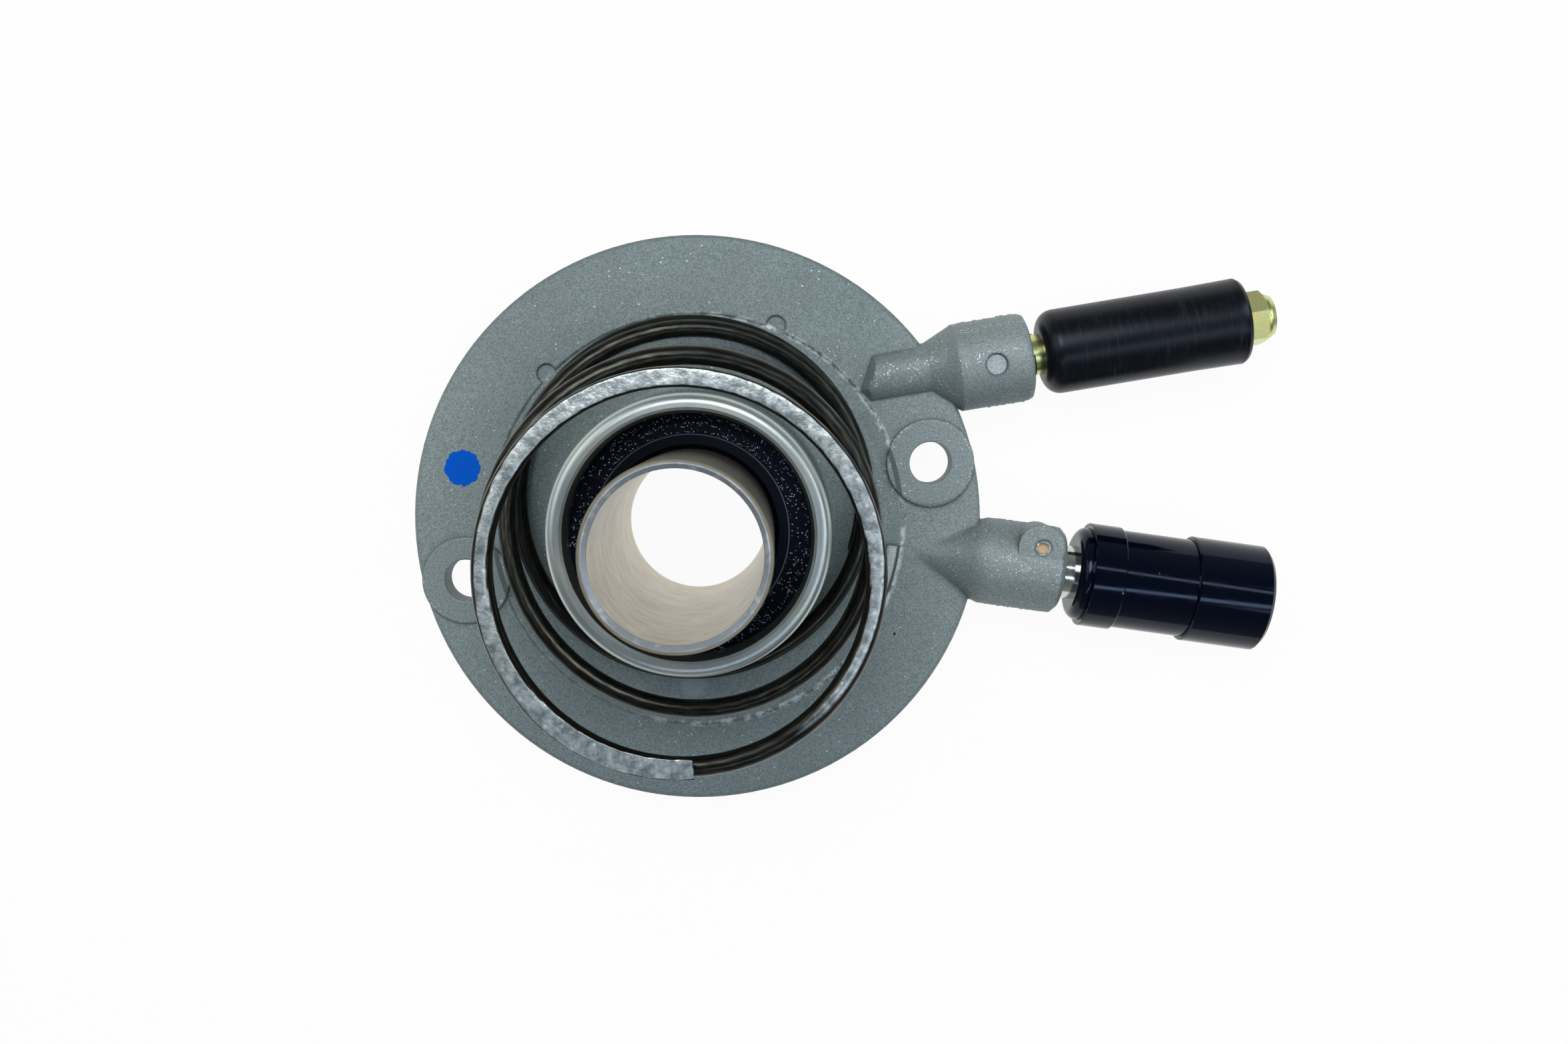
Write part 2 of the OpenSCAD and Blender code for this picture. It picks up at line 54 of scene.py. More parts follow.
# The cast body: flange, hub and two port bosses in one piece of die-cast aluminium.
# It is shot-blasted after casting, so it is evenly grey with a fine bright grain, and it
# carries a round dab of blue inspection paint on the left of the flange.
def linear(code):
    """A colour written as sRGB hex, in the linear values that the nodes take."""
    parts = [c / 255 for c in bytes.fromhex(code)]
    return tuple(c / 12.92 if c <= 0.04045 else ((c + 0.055) / 1.055) ** 2.4 for c in parts) + (1.0,)


def add(tree, kind, ins=None, **settings):
    """One shader node with its settings. A value in ins is a number, a colour or another node's output.

    An input is named, or counted where names repeat: a colour Mix takes its factor at 0 and its colours
    at 6 and 7, and a MapRange takes the span that it reads at 1 and 2 and the one that it gives at 3 and 4.
    """
    node = tree.nodes.new("ShaderNode" + kind)
    for name, value in settings.items():
        setattr(node, name, value)
    for name, value in (ins or {}).items():
        if isinstance(value, bpy.types.NodeSocket):
            tree.links.new(value, node.inputs[name])
        else:
            node.inputs[name].default_value = value
    return node


def finish_named(name):
    """A new material: its node tree, its shader node and the Object coordinates in metres."""
    material = bpy.data.materials.new(name)
    material.use_nodes = True
    tree = material.node_tree
    return material, tree, tree.nodes["Principled BSDF"], add(tree, "TexCoord").outputs["Object"]


def per_mm(size):
    """The texture scale that gives features of this size in millimetres."""
    return 1000 / size


def coat_node(name, material):
    """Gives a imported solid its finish."""
    slots = cad[name].data.materials
    slots.clear()
    slots.append(material)


# Shot-blasted cast aluminium: a matt grey skin with bright specks where the shot left facets.
# The real grain is about 0.2 mm; it is drawn at 0.36 mm so that it still shows in the picture.
cast, tree, skin, place = finish_named("shot_blasted_cast_aluminium")
axes = add(tree, "SeparateXYZ", {"Vector": place})
grain = add(tree, "TexNoise", {"Vector": place, "Scale": per_mm(0.36), "Detail": 2.0, "Roughness": 0.7})
cloud = add(tree, "TexNoise", {"Vector": place, "Scale": per_mm(11), "Detail": 3.0, "Roughness": 0.55})
grain_tone = add(tree, "MapRange", {"Value": grain.outputs[0], 1: 0.34, 2: 0.66})
grey = add(tree, "Mix", {0: grain_tone.outputs[0], 6: linear("657274"), 7: linear("8d9a9a")},
           data_type="RGBA")
cloud_tone = add(tree, "MapRange", {"Value": cloud.outputs[0], 1: 0.35, 2: 0.7, 3: 0.0, 4: 0.3})
clouded = add(tree, "Mix", {0: cloud_tone.outputs[0], 6: grey.outputs[2], 7: linear("6b7777")},
              data_type="RGBA")
# The two ends of the flange and the bosses are painted a little paler than the middle: painted light, for
# the side lamps that fall on them.
to_side = add(tree, "Math", {0: axes.outputs["X"]}, operation="ABSOLUTE")
side_light = add(tree, "MapRange", {"Value": to_side.outputs[0], 1: 0.038, 2: 0.07, 3: 0.0, 4: 0.42})
side_lit_grain = add(tree, "Mix", {0: grain_tone.outputs[0], 6: linear("899494"), 7: linear("b7c2c1")},
                 data_type="RGBA")
mottled = add(tree, "Mix", {0: side_light.outputs[0], 6: clouded.outputs[2], 7: side_lit_grain.outputs[2]},
              data_type="RGBA")
# Rubbed places: the rim of the spring seat, the rims of the two bolt pads, the crests of the rib and the
# two bosses, and a rough patch between the spring and the right pad are worn to close bright specks.
flat_place = add(tree, "VectorMath", {0: place, 1: (1, 1, 0)}, operation="MULTIPLY")
from_axis = add(tree, "VectorMath", {0: flat_place.outputs[0]}, operation="LENGTH")
on_boss = add(tree, "MapRange", {"Value": from_axis.outputs["Value"], 1: 0.049, 2: 0.051})
seat_rim_r, pad_rim_r, pad_x, pad_y = 47.3, 9.6, 53.32, 13.49  # millimetres
bands = []
for ring_x, ring_y, ring_r, reach in ((0, 0, seat_rim_r, 0.8), (pad_x, pad_y, pad_rim_r, 0.6),
                                      (-pad_x, -pad_y, pad_rim_r, 0.6), (44, 9, 0, 7)):
    away = add(tree, "VectorMath", {0: flat_place.outputs[0], 1: (ring_x / 1000, ring_y / 1000, 0)},
               operation="DISTANCE")
    off_ring = add(tree, "Math", {0: away.outputs["Value"], 1: ring_r / 1000}, operation="SUBTRACT")
    gap = add(tree, "Math", {0: off_ring.outputs[0]}, operation="ABSOLUTE")
    bands.append(add(tree, "MapRange", {"Value": gap.outputs[0], 1: reach / 1000, 2: 0.0001}))
rib_crest, boss_crest = (0.0081, 0.0090), (0.0125, 0.0130)
for low_crest, crest in (rib_crest, boss_crest):
    rise = add(tree, "MapRange", {"Value": axes.outputs["Z"], 1: low_crest, 2: crest})
    fall = add(tree, "MapRange", {"Value": axes.outputs["Z"], 1: crest + 0.0001, 2: crest + 0.001,
                                  3: 1.0, 4: 0.0})
    crest_line = add(tree, "Math", {0: rise.outputs[0], 1: fall.outputs[0]}, operation="MULTIPLY")
    bands.append(add(tree, "Math", {0: crest_line.outputs[0], 1: on_boss.outputs[0]}, operation="MULTIPLY"))
# The rim of the seat runs out under the pads, which stand higher.
below_pads = add(tree, "MapRange", {"Value": axes.outputs["Z"], 1: 0.0064, 2: 0.0062})
bands[0] = add(tree, "Math", {0: bands[0].outputs[0], 1: below_pads.outputs[0]}, operation="MULTIPLY")
# Only the right half of the rim is rubbed bright; the other half is hardly touched.
rubbed_side = add(tree, "MapRange", {"Value": axes.outputs["X"], 1: -0.018, 2: 0.002, 3: 0.2, 4: 1.0})
bands[0] = add(tree, "Math", {0: bands[0].outputs[0], 1: rubbed_side.outputs[0]}, operation="MULTIPLY")
rubbed = bands[0]
for band in bands[1:]:
    rubbed = add(tree, "Math", {0: rubbed.outputs[0], 1: band.outputs[0]}, operation="MAXIMUM")
dashes = add(tree, "TexNoise", {"Vector": place, "Scale": per_mm(3.0), "Detail": 3.0, "Roughness": 0.7})
dash_cut = add(tree, "MapRange", {"Value": dashes.outputs[0], 1: 0.45, 2: 0.57})
speckled = add(tree, "Math", {0: rubbed.outputs[0], 1: dash_cut.outputs[0]}, operation="MULTIPLY")
seat_rim = add(tree, "Math", {0: bands[0].outputs[0], 1: dash_cut.outputs[0]}, operation="MULTIPLY")
# The flat top of the locating rib, which the foot of the spring rubs, is bright from end to end; its outer
# slope is painted dark, as painted shade.
on_rib = add(tree, "MapRange", {"Value": from_axis.outputs["Value"], 1: 0.0463, 2: 0.0460})
off_hub = add(tree, "MapRange", {"Value": from_axis.outputs["Value"], 1: 0.0430, 2: 0.0436})
rib_height = add(tree, "MapRange", {"Value": axes.outputs["Z"], 1: 0.0069, 2: 0.0072})
rib_face = add(tree, "Math", {0: on_rib.outputs[0], 1: off_hub.outputs[0]}, operation="MULTIPLY")
off_top = add(tree, "MapRange", {"Value": from_axis.outputs["Value"], 1: 0.0460, 2: 0.0463})
in_seat = add(tree, "MapRange", {"Value": from_axis.outputs["Value"], 1: 0.0475, 2: 0.0472})
slope_height = add(tree, "MapRange", {"Value": axes.outputs["Z"], 1: 0.0061, 2: 0.0063, 3: 0.0, 4: 0.75})
slope_band = add(tree, "Math", {0: off_top.outputs[0], 1: in_seat.outputs[0]}, operation="MULTIPLY")
rib_slope_shade = add(tree, "Math", {0: slope_band.outputs[0], 1: slope_height.outputs[0]}, operation="MULTIPLY")
rib_top = add(tree, "Math", {0: rib_face.outputs[0], 1: rib_height.outputs[0]}, operation="MULTIPLY")
rib_pale = add(tree, "Math", {0: rib_top.outputs[0], 1: 0.5}, operation="MULTIPLY")
pale = add(tree, "Math", {0: seat_rim.outputs[0], 1: rib_pale.outputs[0]}, operation="MAXIMUM")
worn = add(tree, "Math", {0: speckled.outputs[0], 1: rib_top.outputs[0]}, operation="MAXIMUM")
facet = add(tree, "TexVoronoi", {"Vector": place, "Scale": per_mm(0.42)})
chance = add(tree, "SeparateColor", {"Color": facet.outputs["Color"]})
rare = add(tree, "MapRange", {"Value": worn.outputs[0], 3: 0.993, 4: 0.6})
chosen = add(tree, "Math", {0: chance.outputs["Red"], 1: rare.outputs[0]}, operation="GREATER_THAN")
small = add(tree, "MapRange", {"Value": facet.outputs["Distance"], 1: 0.5, 2: 0.3})
spark = add(tree, "Math", {0: chosen.outputs[0], 1: small.outputs[0]}, operation="MULTIPLY")
paler = add(tree, "MapRange", {"Value": pale.outputs[0], 3: 0.0, 4: 0.85})
worn_grey = add(tree, "Mix", {0: paler.outputs[0], 6: mottled.outputs[2], 7: linear("d2dadc")},
                data_type="RGBA")
sparked = add(tree, "Mix", {0: spark.outputs[0], 6: worn_grey.outputs[2], 7: linear("c6d0d3")},
              data_type="RGBA")
# Corners and crevices are painted darker from ambient occlusion, as painted shade, and so is the outer slope
# of the rib. The skin has one pit on the right and one pale smear in front of the hub.
smear_at, pit_at = (-0.0012, -0.0381, 0.0056), (0.04546, -0.02618, 0.006)
corner = add(tree, "AmbientOcclusion", {"Distance": 0.002}, samples=8, only_local=True)
corner_shade = add(tree, "MapRange", {"Value": corner.outputs["AO"], 1: 0.45, 2: 0.97, 3: 0.5, 4: 0.0})
rim_or_rib = add(tree, "Math", {0: bands[0].outputs[0], 1: rib_top.outputs[0]}, operation="MAXIMUM")
unworn = add(tree, "MapRange", {"Value": rim_or_rib.outputs[0], 3: 1.0, 4: 0.0})
corner_shade_unworn = add(tree, "Math", {0: corner_shade.outputs[0], 1: unworn.outputs[0]}, operation="MULTIPLY")
painted_shade = add(tree, "Math", {0: corner_shade_unworn.outputs[0], 1: rib_slope_shade.outputs[0]}, operation="MAXIMUM")
dust_and_shade = add(tree, "Mix", {0: painted_shade.outputs[0], 6: sparked.outputs[2], 7: linear("454e51")},
            data_type="RGBA")
from_smear = add(tree, "VectorMath", {0: place, 1: smear_at}, operation="DISTANCE")
smear = add(tree, "MapRange", {"Value": from_smear.outputs["Value"], 1: 0.0034, 2: 0.0022, 3: 0.0, 4: 0.45})
smeared = add(tree, "Mix", {0: smear.outputs[0], 6: dust_and_shade.outputs[2], 7: linear("98a3a5")},
              data_type="RGBA")
# The pit is painted as a near-black spot: painted shade of its hollow.
from_pit = add(tree, "VectorMath", {0: place, 1: pit_at}, operation="DISTANCE")
pit = add(tree, "MapRange", {"Value": from_pit.outputs["Value"], 1: 0.0004, 2: 0.0002})
blasted = add(tree, "Mix", {0: pit.outputs[0], 6: smeared.outputs[2], 7: linear("161b1d")},
              data_type="RGBA")
# One ejector mark on the bleed boss is bare, bright metal, with a dark ring of painted shade round it.
mark_at = (0.0673, 0.0358, 0.0122)
from_mark = add(tree, "VectorMath", {0: place, 1: mark_at}, operation="DISTANCE")
bare = add(tree, "MapRange", {"Value": from_mark.outputs["Value"], 1: 0.0024, 2: 0.0021})
shade_in = add(tree, "MapRange", {"Value": from_mark.outputs["Value"], 1: 0.0031, 2: 0.0025,
                                  3: 0.0, 4: 0.55})
ringed = add(tree, "Mix", {0: shade_in.outputs[0], 6: blasted.outputs[2], 7: linear("454f53")},
             data_type="RGBA")
bare_grey = add(tree, "Mix", {0: grain_tone.outputs[0], 6: linear("8b979c"), 7: linear("b9c4c9")},
                data_type="RGBA")
marked = add(tree, "Mix", {0: bare.outputs[0], 6: ringed.outputs[2], 7: bare_grey.outputs[2]},
             data_type="RGBA")
# Inspection paint: one thick blue dab, 8 mm across, ragged where the marker lifted.
dab_at, dab_reach = (-0.0537, 0.0124, 0.006), 0.00515
ragged = add(tree, "TexNoise", {"Vector": place, "Scale": per_mm(1.5), "Detail": 3.0, "Roughness": 0.6})
from_dab = add(tree, "VectorMath", {0: place, 1: dab_at}, operation="DISTANCE")
push = add(tree, "Math", {0: ragged.outputs[0], 1: 0.0022, 2: from_dab.outputs["Value"]},
           operation="MULTIPLY_ADD")
dab = add(tree, "Math", {0: push.outputs[0], 1: dab_reach}, operation="LESS_THAN")
painted = add(tree, "Mix", {0: dab.outputs[0], 6: marked.outputs[2], 7: linear("0058c8")}, data_type="RGBA")
metal_part = add(tree, "MapRange", {"Value": dab.outputs[0], 3: 0.45, 4: 0.0})
polish = add(tree, "MapRange", {"Value": spark.outputs[0], 3: 0.56, 4: 0.3})
# The fairing of the fluid boss runs out into the flange in a wide soft fillet; other edges are tight.
fairing_at = (0.056, -0.009, 0.008)
from_fairing = add(tree, "VectorMath", {0: place, 1: fairing_at}, operation="DISTANCE")
soft = add(tree, "MapRange", {"Value": from_fairing.outputs["Value"], 1: 0.018, 2: 0.010,
                              3: 0.0007, 4: 0.0026})
rounded = add(tree, "Bevel", {"Radius": soft.outputs[0]}, samples=6)
pitted = add(tree, "Bump", {"Strength": 0.45, "Distance": 0.00014, "Height": grain.outputs[0],
                            "Normal": rounded.outputs[0]})
tree.links.new(painted.outputs[2], skin.inputs["Base Color"])
tree.links.new(metal_part.outputs[0], skin.inputs["Metallic"])
tree.links.new(polish.outputs[0], skin.inputs["Roughness"])
tree.links.new(pitted.outputs[0], skin.inputs["Normal"])
skin.inputs["Specular IOR Level"].default_value = 0.05
coat_node("housing", cast)


# Flash: where the halves of the mould met, a ragged seam under half a millimetre high is left along both
# sides of the two bosses. It was knocked off roughly and blasted with the rest.
def fit_piece(shape, name, material, body):
    """Makes a modelled shape an object with its finish, on the body that carries it."""
    mesh = bpy.data.meshes.new(name)
    shape.to_mesh(mesh)
    shape.free()
    piece = bpy.data.objects.new(name, mesh)
    bpy.context.scene.collection.objects.link(piece)
    mesh.materials.append(material)
    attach(piece, body)
    return piece


bleed_angle, line_angle, port_z = 9.45, -8.0, 0.003
seam = bmesh.new()
for turn, sideways, out, first, last in ((bleed_angle, 0.0349, 1, 0.0655, 0.0792),
                                         (bleed_angle, 0.0149, -1, 0.0700, 0.0792),
                                         (line_angle, 0.0100, 1, 0.0680, 0.0828),
                                         (line_angle, -0.0100, -1, 0.0680, 0.0828)):
    way = Vector((math.cos(math.radians(turn)), math.sin(math.radians(turn)), 0))
    side = Vector((-way.y, way.x, 0))
    strip = bmesh.ops.create_grid(seam, x_segments=70, y_segments=4, size=1)["verts"]
    for vert in strip:
        along = first + (last - first) * (vert.co.x + 1) / 2
        rough = noise.noise(Vector((along * 1300, turn, sideways * 900)))
        rough += 0.5 * noise.noise(Vector((along * 3100, 5, turn)))
        ends = min(1, (1 - abs(vert.co.x)) * 8)
        height = max(0, 0.00012 + 0.00022 * rough) * (1 - vert.co.y ** 2) * ends - 0.00004 * abs(vert.co.y)
        level = Vector((0, 0, port_z + 0.0004 * vert.co.y))
        vert.co = way * along + side * (sideways + out * height) + level
    seam.normal_update()
    faces = {face for vert in strip for face in vert.link_faces}
    bmesh.ops.reverse_faces(seam, faces=[face for face in faces if face.normal.dot(side * out) < 0])
fit_piece(seam, "mould_seam", cast, "housing")

# The guide tube: drawn steel, flanged at the foot and chamfered at the top, pressed up through the body.
# Its bore is honed, and it is painted paler and warmer towards the foot: painted light from the white table
# below. Its top rim is painted as a cool pale ring with glints: painted reflection.
tube, tree, skin, place = finish_named("honed_drawn_steel")
axes = add(tree, "SeparateXYZ", {"Vector": place})
lay = add(tree, "Mapping", {"Vector": place, "Rotation": (0.5, 0.35, 0.0), "Scale": (1.0, 1.0, 9.0)})
honing = add(tree, "TexNoise", {"Vector": lay.outputs[0], "Scale": per_mm(5), "Detail": 4.0,
                                "Roughness": 0.6})
oil = add(tree, "TexNoise", {"Vector": place, "Scale": per_mm(14), "Detail": 2.0})
oil_tone = add(tree, "MapRange", {"Value": oil.outputs[0], 1: 0.35, 2: 0.65})
warm = add(tree, "Mix", {0: oil_tone.outputs[0], 6: linear("a0987f"), 7: linear("aea690")},
           data_type="RGBA")
line_tone = add(tree, "MapRange", {"Value": honing.outputs[0], 1: 0.42, 2: 0.66, 3: 0.0, 4: 0.4})
# Painted light: the bore is painted paler and warmer towards its foot.
film_and_foot_light = add(tree, "MapRange", {"Value": axes.outputs["Z"], 1: 0.002, 2: 0.042, 3: 0.7, 4: 0.0})
lit_towards_foot = add(tree, "Mix", {0: film_and_foot_light.outputs[0], 6: warm.outputs[2], 7: linear("dccfb2")}, data_type="RGBA")
honed = add(tree, "Mix", {0: line_tone.outputs[0], 6: lit_towards_foot.outputs[2], 7: linear("8a836e")},
            data_type="RGBA")
# The top rim is painted as a pale cool ring with glints: painted reflection.
rim = add(tree, "MapRange", {"Value": axes.outputs["Z"], 1: 0.0768, 2: 0.0770})
flat_place = add(tree, "VectorMath", {0: place, 1: (1, 1, 0)}, operation="MULTIPLY")
radius = add(tree, "VectorMath", {0: flat_place.outputs[0]}, operation="LENGTH")
inner = add(tree, "MapRange", {"Value": radius.outputs["Value"], 1: 0.01715, 2: 0.0169})
rim_reflection = add(tree, "Math", {0: rim.outputs[0], 1: inner.outputs[0]}, operation="MULTIPLY")
glint = add(tree, "TexNoise", {"Vector": place, "Scale": per_mm(2.2), "Detail": 2.0})
glint_tone = add(tree, "MapRange", {"Value": glint.outputs[0], 1: 0.55, 2: 0.72})
rim_reflection_colour = add(tree, "Mix", {0: glint_tone.outputs[0], 6: linear("c0cad5"), 7: linear("f0f5fa")},
                  data_type="RGBA")
outside = add(tree, "MapRange", {"Value": radius.outputs["Value"], 1: 0.0174, 2: 0.0176})
drawn = add(tree, "Mix", {0: outside.outputs[0], 6: honed.outputs[2], 7: linear("7d786e")},
            data_type="RGBA")
tube_colour = add(tree, "Mix", {0: rim_reflection.outputs[0], 6: drawn.outputs[2], 7: rim_reflection_colour.outputs[2]},
                  data_type="RGBA")
tube_gloss = add(tree, "MapRange", {"Value": honing.outputs[0], 1: 0.3, 2: 0.7, 3: 0.26, 4: 0.4})
scored = add(tree, "Bump", {"Strength": 0.25, "Distance": 0.00005, "Height": honing.outputs[0]})
tree.links.new(tube_colour.outputs[2], skin.inputs["Base Color"])
tree.links.new(tube_gloss.outputs[0], skin.inputs["Roughness"])
tree.links.new(scored.outputs[0], skin.inputs["Normal"])
skin.inputs["Metallic"].default_value = 0.85
coat_node("guide_tube", tube)

# The hidden seals: moulded nitrile rings in the body, on the stem and inside the coupling.
# They are wet with fluid, so the black is soft with a dull shine.
nitrile, tree, skin, place = finish_named("moulded_nitrile_rubber")
bloom = add(tree, "TexNoise", {"Vector": place, "Scale": per_mm(1.2), "Detail": 4.0})
bloom_colour = add(tree, "Mix", {0: bloom.outputs[0], 6: linear("131416"), 7: linear("232427")},
                   data_type="RGBA")
bloom_gloss = add(tree, "MapRange", {"Value": bloom.outputs[0], 1: 0.3, 2: 0.7, 3: 0.42, 4: 0.6})
moulded = add(tree, "Bump", {"Strength": 0.2, "Distance": 0.00005, "Height": bloom.outputs[0]})
tree.links.new(bloom_colour.outputs[2], skin.inputs["Base Color"])
tree.links.new(bloom_gloss.outputs[0], skin.inputs["Roughness"])
tree.links.new(moulded.outputs[0], skin.inputs["Normal"])
for name in ("tube_seal", "piston_seal", "stem_seal", "socket_seal"):
    coat_node(name, nitrile)

# The backing rings behind two of the seals: turned PTFE, waxy white with fine lathe lines.
# They lie loose in the grooves beside the seals that they stiffen.
ptfe, tree, skin, place = finish_named("turned_ptfe")
lathe = add(tree, "TexNoise", {"Vector": place, "Scale": per_mm(0.7), "Detail": 3.0})
wax = add(tree, "Mix", {0: lathe.outputs[0], 6: linear("cfc9b8"), 7: linear("e6e1d2")}, data_type="RGBA")
turned = add(tree, "Bump", {"Strength": 0.15, "Distance": 0.00004, "Height": lathe.outputs[0]})
tree.links.new(wax.outputs[2], skin.inputs["Base Color"])
tree.links.new(turned.outputs[0], skin.inputs["Normal"])
skin.inputs["Roughness"].default_value = 0.5
for name in ("seal_backup_ring", "stem_backup_ring"):
    coat_node(name, ptfe)

# The piston sleeve: deep-drawn steel, zinc plated, with its mouth rolled outwards to a lip.
# The zinc is a satin grey with a faint yellow and blue cast, and fine marks run round it.
zinc, tree, skin, place = finish_named("zinc_plated_drawn_steel")
axes = add(tree, "SeparateXYZ", {"Vector": place})
flat_place = add(tree, "VectorMath", {0: place, 1: (1, 1, 0)}, operation="MULTIPLY")
radius = add(tree, "VectorMath", {0: flat_place.outputs[0]}, operation="LENGTH")
turn = add(tree, "Math", {0: axes.outputs["Y"], 1: axes.outputs["X"]}, operation="ARCTAN2")
slow_turn = add(tree, "Math", {0: turn.outputs[0], 1: 0.003}, operation="MULTIPLY")
round_place = add(tree, "CombineXYZ", {"X": radius.outputs["Value"], "Y": slow_turn.outputs[0],
                                       "Z": axes.outputs["Z"]})
marks = add(tree, "TexNoise", {"Vector": round_place.outputs[0], "Scale": per_mm(0.35), "Detail": 3.0})
cast_tint = add(tree, "TexNoise", {"Vector": place, "Scale": per_mm(13), "Detail": 2.0})
tint_tone = add(tree, "MapRange", {"Value": cast_tint.outputs[0], 1: 0.38, 2: 0.62})
zinc_colour = add(tree, "Mix", {0: tint_tone.outputs[0], 6: linear("b4c0c1"), 7: linear("c3cbc6")},
                  data_type="RGBA")
zinc_gloss = add(tree, "MapRange", {"Value": marks.outputs[0], 1: 0.3, 2: 0.7, 3: 0.34, 4: 0.4})
rolled = add(tree, "Bump", {"Strength": 0.008, "Distance": 0.00002, "Height": marks.outputs[0]})
tree.links.new(zinc_colour.outputs[2], skin.inputs["Base Color"])
tree.links.new(zinc_gloss.outputs[0], skin.inputs["Roughness"])
tree.links.new(rolled.outputs[0], skin.inputs["Normal"])
skin.inputs["Metallic"].default_value = 1.0
coat_node("piston_sleeve", zinc)

# The dust wiper: black rubber between sleeve and tube, packed with assembly grease.
# Its outer zone holds bright specks of grit and grease in rings, painted as their glints; its inner lip is
# wiped clean.
wiper, tree, skin, place = finish_named("greased_wiper_rubber")
flat_place = add(tree, "VectorMath", {0: place, 1: (1, 1, 0)}, operation="MULTIPLY")
radius = add(tree, "VectorMath", {0: flat_place.outputs[0]}, operation="LENGTH")
zone = add(tree, "MapRange", {"Value": radius.outputs["Value"], 1: 0.0207, 2: 0.0214})
speck_cells = add(tree, "TexVoronoi", {"Vector": place, "Scale": per_mm(0.42)})
speck_chance = add(tree, "SeparateColor", {"Color": speck_cells.outputs["Color"]})
waves = add(tree, "Math", {0: radius.outputs["Value"], 1: 2 * math.pi / 0.0016}, operation="MULTIPLY")
rings = add(tree, "Math", {0: waves.outputs[0]}, operation="SINE")
clumps = add(tree, "TexNoise", {"Vector": place, "Scale": per_mm(2.5), "Detail": 2.0})
crowd = add(tree, "Math", {0: rings.outputs[0], 1: 0.12, 2: clumps.outputs[0]}, operation="MULTIPLY_ADD")
rare = add(tree, "MapRange", {"Value": crowd.outputs[0], 1: 0.35, 2: 0.7, 3: 0.95, 4: 0.42})
lit = add(tree, "Math", {0: speck_chance.outputs["Red"], 1: rare.outputs[0]}, operation="GREATER_THAN")
point = add(tree, "MapRange", {"Value": speck_cells.outputs["Distance"], 1: 0.42, 2: 0.15})
speck = add(tree, "Math", {0: lit.outputs[0], 1: point.outputs[0]}, operation="MULTIPLY")
zoned = add(tree, "Math", {0: speck.outputs[0], 1: zone.outputs[0]}, operation="MULTIPLY")
# A thin pale line is painted along the step at 20.8 mm: a painted highlight on its edge.
off_step = add(tree, "Math", {0: radius.outputs["Value"], 1: 0.0208}, operation="SUBTRACT")
beside_step = add(tree, "Math", {0: off_step.outputs[0]}, operation="ABSOLUTE")
step_highlight = add(tree, "MapRange", {"Value": beside_step.outputs[0], 1: 0.0002, 2: 0.00005, 3: 0.0, 4: 0.3})
specks_and_step_highlight = add(tree, "Math", {0: zoned.outputs[0], 1: step_highlight.outputs[0]}, operation="MAXIMUM")
wiper_colour = add(tree, "Mix", {0: specks_and_step_highlight.outputs[0], 6: linear("05070f"), 7: linear("b8c4e2")},
                   data_type="RGBA")
wiper_gloss = add(tree, "MapRange", {"Value": zone.outputs[0], 3: 0.5, 4: 0.36})
grease = add(tree, "TexNoise", {"Vector": place, "Scale": per_mm(0.9), "Detail": 4.0, "Roughness": 0.7})
lumps = add(tree, "Math", {0: grease.outputs[0], 1: zone.outputs[0]}, operation="MULTIPLY")
greasy = add(tree, "Bump", {"Strength": 0.5, "Distance": 0.0002, "Height": lumps.outputs[0]})
tree.links.new(wiper_colour.outputs[2], skin.inputs["Base Color"])
tree.links.new(wiper_gloss.outputs[0], skin.inputs["Roughness"])
tree.links.new(greasy.outputs[0], skin.inputs["Normal"])
skin.inputs["Specular IOR Level"].default_value = 0.12
skin.inputs["Specular Tint"].default_value = linear("cfe0ff")
coat_node("dust_wiper", wiper)


# The preload spring: conical, of oil-tempered round wire, closed and ground flat at its top end.
# The drawn wire is near black with fine die lines along it; the ground face is mottled grey steel, with
# glints painted on it as bright dots, which are painted highlights.
def joined_copy(name, corner):
    """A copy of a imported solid, its loose triangles joined and smooth up to this angle."""
    shape = bmesh.new()
    shape.from_mesh(cad[name].data)
    bmesh.ops.remove_doubles(shape, verts=shape.verts, dist=1e-6)
    for face in shape.faces:
        face.smooth = True
    for edge in shape.edges:
        edge.smooth = len(edge.link_faces) < 2 or edge.calc_face_angle() < math.radians(corner)
    return shape


coil = joined_copy("preload_spring", 180)
crease = coil.edges.layers.float.new("crease_edge")
for edge in coil.edges:
    if len(edge.link_faces) == 2 and edge.calc_face_angle() > math.radians(38):
        edge[crease] = 0.85
wire, tree, skin, place = finish_named("oil_tempered_spring_wire")
axes = add(tree, "SeparateXYZ", {"Vector": place})
facing = add(tree, "SeparateXYZ", {"Vector": add(tree, "NewGeometry").outputs["Normal"]})
level = add(tree, "MapRange", {"Value": axes.outputs["Z"], 1: 0.0730, 2: 0.0736})
upward = add(tree, "MapRange", {"Value": facing.outputs["Z"], 1: 0.86, 2: 0.97})
ground = add(tree, "Math", {0: level.outputs[0], 1: upward.outputs[0]}, operation="MULTIPLY")
flat_place = add(tree, "VectorMath", {0: place, 1: (1, 1, 0)}, operation="MULTIPLY")
radius = add(tree, "VectorMath", {0: flat_place.outputs[0]}, operation="LENGTH")
turn = add(tree, "Math", {0: axes.outputs["Y"], 1: axes.outputs["X"]}, operation="ARCTAN2")
slow_turn = add(tree, "Math", {0: turn.outputs[0], 1: 0.002}, operation="MULTIPLY")
round_place = add(tree, "CombineXYZ", {"X": radius.outputs["Value"], "Y": slow_turn.outputs[0],
                                       "Z": axes.outputs["Z"]})
die_lines = add(tree, "TexNoise", {"Vector": round_place.outputs[0], "Scale": per_mm(0.6), "Detail": 2.0,
                                   "Roughness": 0.6})
die_tone = add(tree, "MapRange", {"Value": die_lines.outputs[0], 1: 0.36, 2: 0.66})
